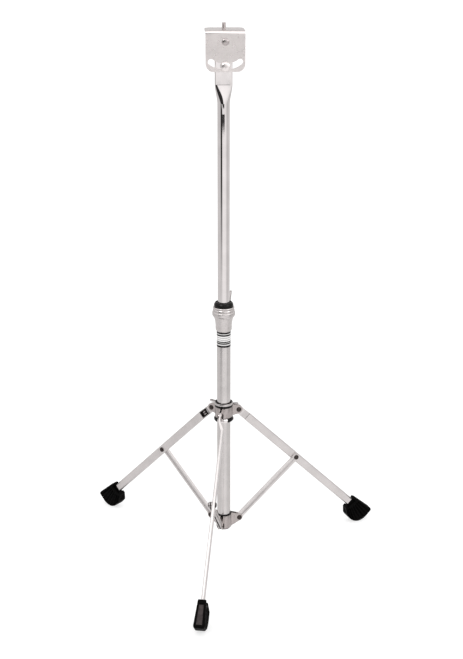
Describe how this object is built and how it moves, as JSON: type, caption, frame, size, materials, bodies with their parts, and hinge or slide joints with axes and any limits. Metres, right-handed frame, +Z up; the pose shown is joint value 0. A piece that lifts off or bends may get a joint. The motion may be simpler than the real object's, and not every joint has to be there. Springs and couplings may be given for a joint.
{
  "type": "practice pad stand",
  "caption": "Folding tripod stand with a telescoping tube, a tilting L-bracket and a threaded stud that holds a practice pad or small drum.",
  "frame": {"origin": "on the axis of the tube at floor level", "axes": "+Z up along the tube and the stud; the pad bracket plate faces -Y; +X to the right seen from the front"},
  "size_m": [0.493, 0.4735, 0.876],
  "materials": {
    "mirror_chrome": "mirror chrome plate",
    "satin_chrome": "satin chrome plate, lightly brushed round the tube",
    "plated_steel": "satin zinc and chrome plate on pressed steel",
    "stamped_steel": "darker plated stamping",
    "cast_metal": "satin plated die casting",
    "steel": "bright fastener steel",
    "black_plastic": "black nylon",
    "stripe_film": "white film with plain black stripes",
    "rubber": "moulded black rubber"
  },
  "bodies": {
    "base": {"base_tube": "satin_chrome", "stripe_band": "stripe_film", "base_tube_plug": "black_plastic", "height_collar": "cast_metal", "lower_hub_segment_right": "stamped_steel", "lower_hub_segment_back": "stamped_steel", "lower_hub_segment_left": "stamped_steel", "brace_hinge_rivets": "steel"},
    "bushing": {"collar_bushing": "black_plastic"},
    "collar_bolt": {"collar_wing_bolt": "cast_metal"},
    "mast": {"upper_tube": "mirror_chrome", "bracket_pivot_rivet": "steel", "tilt_bolt": "steel", "tilt_washer": "steel"},
    "bracket": {"pad_bracket": "plated_steel", "pad_bolt": "steel"},
    "tilt_nut": {"tilt_wing_nut": "cast_metal"},
    "hub": {"hub_liner": "black_plastic", "hub_top_ring": "satin_chrome", "hub_bottom_ring": "mirror_chrome", "hub_segment_right": "stamped_steel", "hub_segment_back": "stamped_steel", "hub_segment_left": "stamped_steel", "hub_screw_boss": "steel", "leg_hinge_rivets": "steel"},
    "hub_bolt": {"hub_wing_bolt": "cast_metal"},
    "front_leg_body": {"front_leg": "plated_steel", "front_foot": "rubber", "front_leg_rivet": "steel"},
    "front_brace_body": {"front_brace": "plated_steel", "front_brace_rivet": "steel"},
    "right_leg_body": {"right_leg": "plated_steel", "right_foot": "rubber", "right_leg_rivet": "steel"},
    "right_brace_body": {"right_brace": "plated_steel", "right_brace_rivet": "steel"},
    "left_leg_body": {"left_leg": "plated_steel", "left_foot": "rubber", "left_leg_rivet": "steel"},
    "left_brace_body": {"left_brace": "plated_steel", "left_brace_rivet": "steel"}
  },
  "joints": [
    {"name": "mast_turn", "type": "hinge", "parent": "base", "child": "bushing", "pos_m": [0, 0, 0.42], "axis": [0, 0, 1], "continuous": true},
    {"name": "height_slide", "type": "slide", "parent": "bushing", "child": "mast", "axis": [0, 0, 1], "range_m": [-0.29, 0.02]},
    {"name": "bracket_tilt", "type": "hinge", "parent": "mast", "child": "bracket", "pos_m": [0.0026, 0, 0.849], "axis": [0, -1, 0], "range_deg": [-36, 36]},
    {"name": "tilt_nut_turn", "type": "hinge", "parent": "mast", "child": "tilt_nut", "pos_m": [0.0026, 0.01, 0.8122], "axis": [0, 1, 0], "continuous": true},
    {"name": "collar_bolt_turn", "type": "hinge", "parent": "base", "child": "collar_bolt", "pos_m": [0.01026, 0.02819, 0.424], "axis": [0.342, 0.9397, 0], "continuous": true},
    {"name": "hub_slide", "type": "slide", "parent": "base", "child": "hub", "axis": [0, 0, 1], "range_m": [0, 0.09136]},
    {"name": "hub_bolt_turn", "type": "hinge", "parent": "hub", "child": "hub_bolt", "pos_m": [0.00209, 0.02993, 0.252], "axis": [0.0698, 0.9976, 0], "continuous": true},
    {"name": "front_leg_swing", "type": "hinge", "parent": "hub", "child": "front_leg_body", "pos_m": [-0.00502, -0.02469, 0.252], "axis": [0.9799, -0.1994, 0], "range_deg": [0, 40.36]},
    {"name": "front_brace_swing", "type": "hinge", "parent": "base", "child": "front_brace_body", "pos_m": [-0.0053, -0.02607, 0.0527], "axis": [0.9799, -0.1994, 0], "range_deg": [-43.77, 0]},
    {"name": "right_leg_swing", "type": "hinge", "parent": "hub", "child": "right_leg_body", "pos_m": [0.0239, 0.008, 0.252], "axis": [-0.3173, 0.9483, 0], "range_deg": [0, 40.36]},
    {"name": "right_brace_swing", "type": "hinge", "parent": "base", "child": "right_brace_body", "pos_m": [0.02523, 0.00844, 0.0527], "axis": [-0.3173, 0.9483, 0], "range_deg": [-43.77, 0]},
    {"name": "left_leg_swing", "type": "hinge", "parent": "hub", "child": "left_leg_body", "pos_m": [-0.01887, 0.0167, 0.252], "axis": [-0.6626, -0.749, 0], "range_deg": [0, 40.36]},
    {"name": "left_brace_swing", "type": "hinge", "parent": "base", "child": "left_brace_body", "pos_m": [-0.01992, 0.01763, 0.0527], "axis": [-0.6626, -0.749, 0], "range_deg": [-43.77, 0]}
  ],
  "couplings": [
    {"joint": "front_leg_swing", "follows": "hub_slide", "rad_per_m": 7.7084},
    {"joint": "front_brace_swing", "follows": "hub_slide", "rad_per_m": -8.3606},
    {"joint": "right_leg_swing", "follows": "hub_slide", "rad_per_m": 7.7084},
    {"joint": "right_brace_swing", "follows": "hub_slide", "rad_per_m": -8.3606},
    {"joint": "left_leg_swing", "follows": "hub_slide", "rad_per_m": 7.7084},
    {"joint": "left_brace_swing", "follows": "hub_slide", "rad_per_m": -8.3606}
  ]
}
